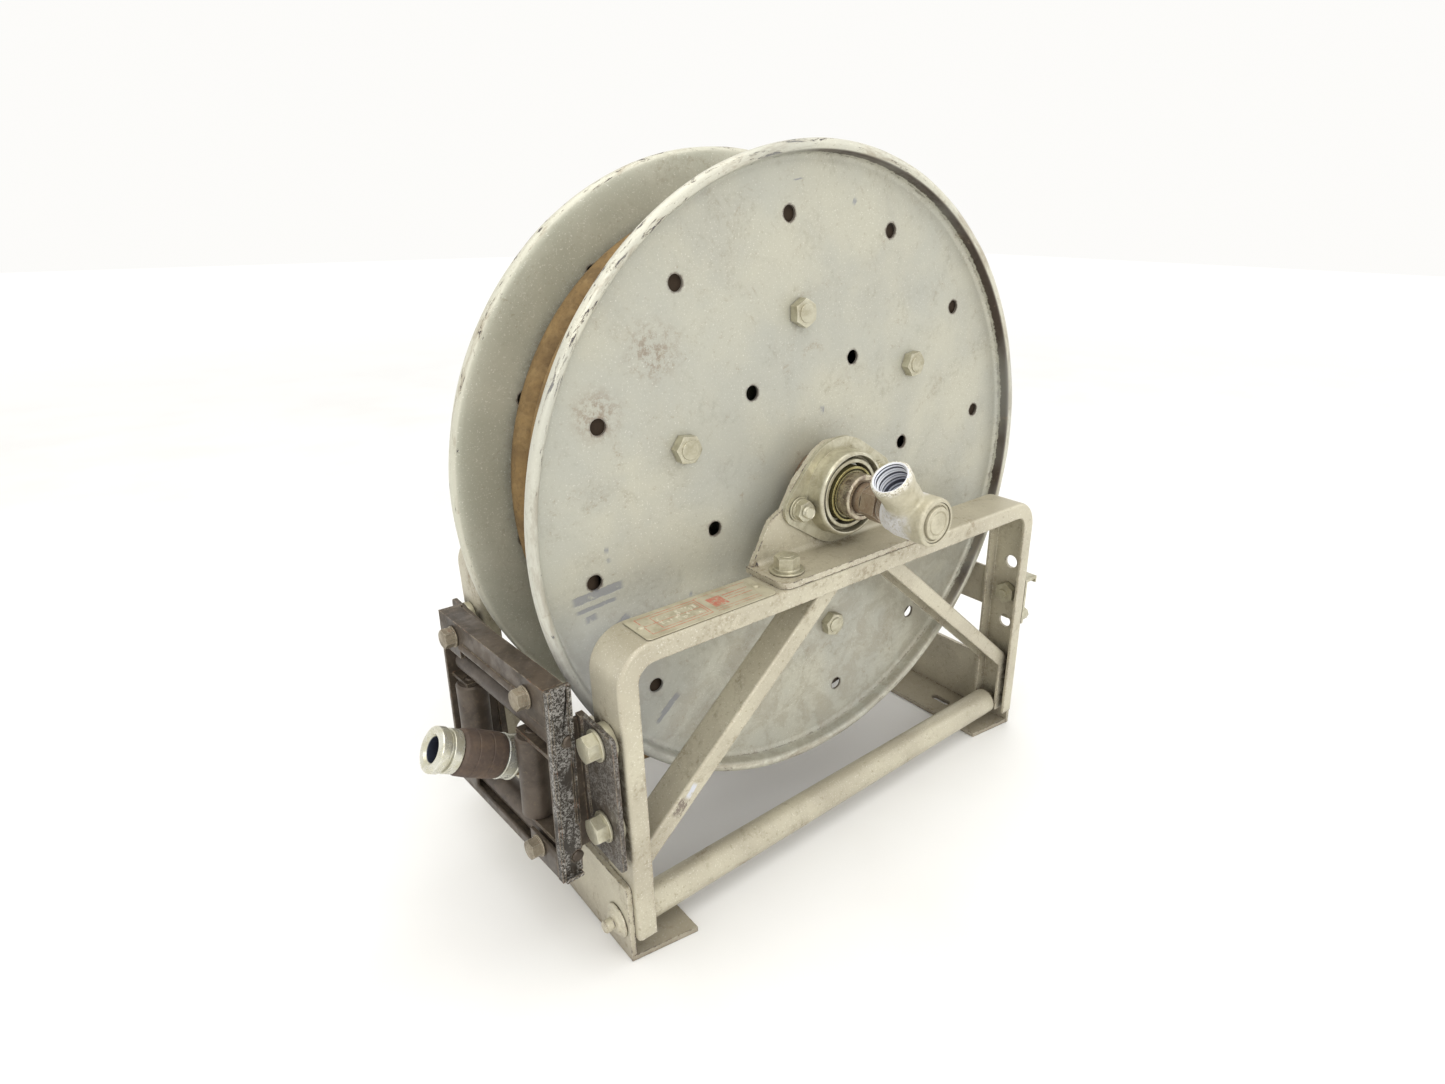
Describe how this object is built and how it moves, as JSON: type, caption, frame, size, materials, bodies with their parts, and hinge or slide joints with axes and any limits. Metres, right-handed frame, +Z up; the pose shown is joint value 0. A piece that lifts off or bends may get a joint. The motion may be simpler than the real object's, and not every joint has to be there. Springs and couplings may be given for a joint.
{
  "type": "spring-rewind hose reel",
  "caption": "Frame-mounted hose reel with pressed steel discs, a swivel inlet elbow and a roller hose guide, wound with its hose.",
  "frame": {"origin": "at floor level under the middle of everything but the hose and its fittings", "axes": "+Z up, +Y along the axle from the inlet side to the spring side, +X to the right as seen from the inlet side"},
  "size_m": [0.5797, 0.3378, 0.5637],
  "materials": {
    "frame_paint": "worn grey-beige enamel",
    "disc_paint": "satin metallic grey-green enamel",
    "zinc_plate": "dull zinc",
    "bare_steel": "oiled steel with light rust",
    "cast_alloy": "cast, corroded",
    "black_paint": "worn black enamel",
    "roller_steel": "dark worn steel",
    "hose_rubber": "dusty tan rubber cover",
    "sleeve_rubber": "dark brown rubber",
    "label_metal": "printed plate"
  },
  "bodies": {
    "frame": {"side_frame_near": "frame_paint", "side_frame_far": "frame_paint", "brace_near_left": "frame_paint", "brace_near_right": "frame_paint", "brace_far_left": "frame_paint", "brace_far_right": "frame_paint", "foot_left": "frame_paint", "foot_right": "frame_paint", "tie_rod_near": "frame_paint", "tie_rod_far": "frame_paint", "cross_strap": "frame_paint", "bearing_bracket_near": "frame_paint", "bearing_bracket_far": "frame_paint", "bearing_housing_near": "zinc_plate", "bearing_housing_far": "zinc_plate", "bracket_bolt_near_left": "zinc_plate", "bracket_bolt_near_right": "zinc_plate", "housing_bolt_near_left": "zinc_plate", "housing_bolt_near_right": "zinc_plate", "spring_arbor": "bare_steel", "nameplate": "label_metal", "hose_clip": "zinc_plate", "guide_top": "black_paint", "guide_bottom": "black_paint", "guide_end_near": "black_paint", "guide_end_far": "black_paint", "guide_ear_near": "black_paint", "guide_ear_far": "black_paint", "guide_bolt_near_lower": "zinc_plate", "guide_bolt_near_upper": "zinc_plate", "guide_bolt_far_lower": "zinc_plate", "guide_bolt_far_upper": "zinc_plate", "hose_lead": "hose_rubber", "hose_clamp": "zinc_plate", "hose_sleeve": "sleeve_rubber", "hose_coupling": "zinc_plate"},
    "drum": {"disc_near": "disc_paint", "disc_far": "disc_paint", "drum_barrel": "disc_paint", "axle": "bare_steel", "inlet_nipple": "bare_steel", "bearing_ring_near": "zinc_plate", "bearing_ring_far": "zinc_plate", "tie_bolt_1": "zinc_plate", "tie_bolt_2": "zinc_plate", "tie_bolt_3": "zinc_plate", "tie_bolt_4": "zinc_plate", "tie_bolt_5": "zinc_plate", "tie_bolt_6": "zinc_plate", "spring_case": "disc_paint", "rewind_spring": "bare_steel", "ratchet_wheel": "bare_steel", "hose_pack": "hose_rubber"},
    "swivel": {"swivel_body": "cast_alloy", "swivel_cap": "cast_alloy"},
    "pawl": {"pawl": "bare_steel"},
    "roller_upright_near": {"roller_upright_near": "roller_steel"},
    "roller_upright_far": {"roller_upright_far": "roller_steel"},
    "roller_upper": {"roller_upper": "roller_steel"},
    "roller_lower": {"roller_lower": "roller_steel"}
  },
  "joints": [
    {"name": "drum_spin", "type": "hinge", "parent": "frame", "child": "drum", "pos_m": [0.01132, 0.01565, 0.3087], "axis": [0, 1, 0], "continuous": true},
    {"name": "swivel_turn", "type": "hinge", "parent": "frame", "child": "swivel", "pos_m": [0.01132, -0.14435, 0.3087], "axis": [0, 1, 0], "continuous": true},
    {"name": "pawl_swing", "type": "hinge", "parent": "frame", "child": "pawl", "pos_m": [0.09132, 0.11365, 0.28], "axis": [0, 1, 0], "range_deg": [-10, 0], "stiffness_Nm_per_rad": 0.3, "springref_deg": 11.46},
    {"name": "roller_upright_near_spin", "type": "hinge", "parent": "frame", "child": "roller_upright_near", "pos_m": [-0.24646, -0.02282, 0.13713], "axis": [0.0348, 0.0021, 0.9994], "continuous": true},
    {"name": "roller_upright_far_spin", "type": "hinge", "parent": "frame", "child": "roller_upright_far", "pos_m": [-0.25221, 0.07401, 0.13713], "axis": [0.0348, 0.0021, 0.9994], "continuous": true},
    {"name": "roller_upper_spin", "type": "hinge", "parent": "frame", "child": "roller_upper", "pos_m": [-0.24338, 0.01292, 0.18548], "axis": [-0.0593, 0.9982, 0], "continuous": true},
    {"name": "roller_lower_spin", "type": "hinge", "parent": "frame", "child": "roller_lower", "pos_m": [-0.24673, 0.01273, 0.08954], "axis": [-0.0593, 0.9982, 0], "continuous": true}
  ]
}
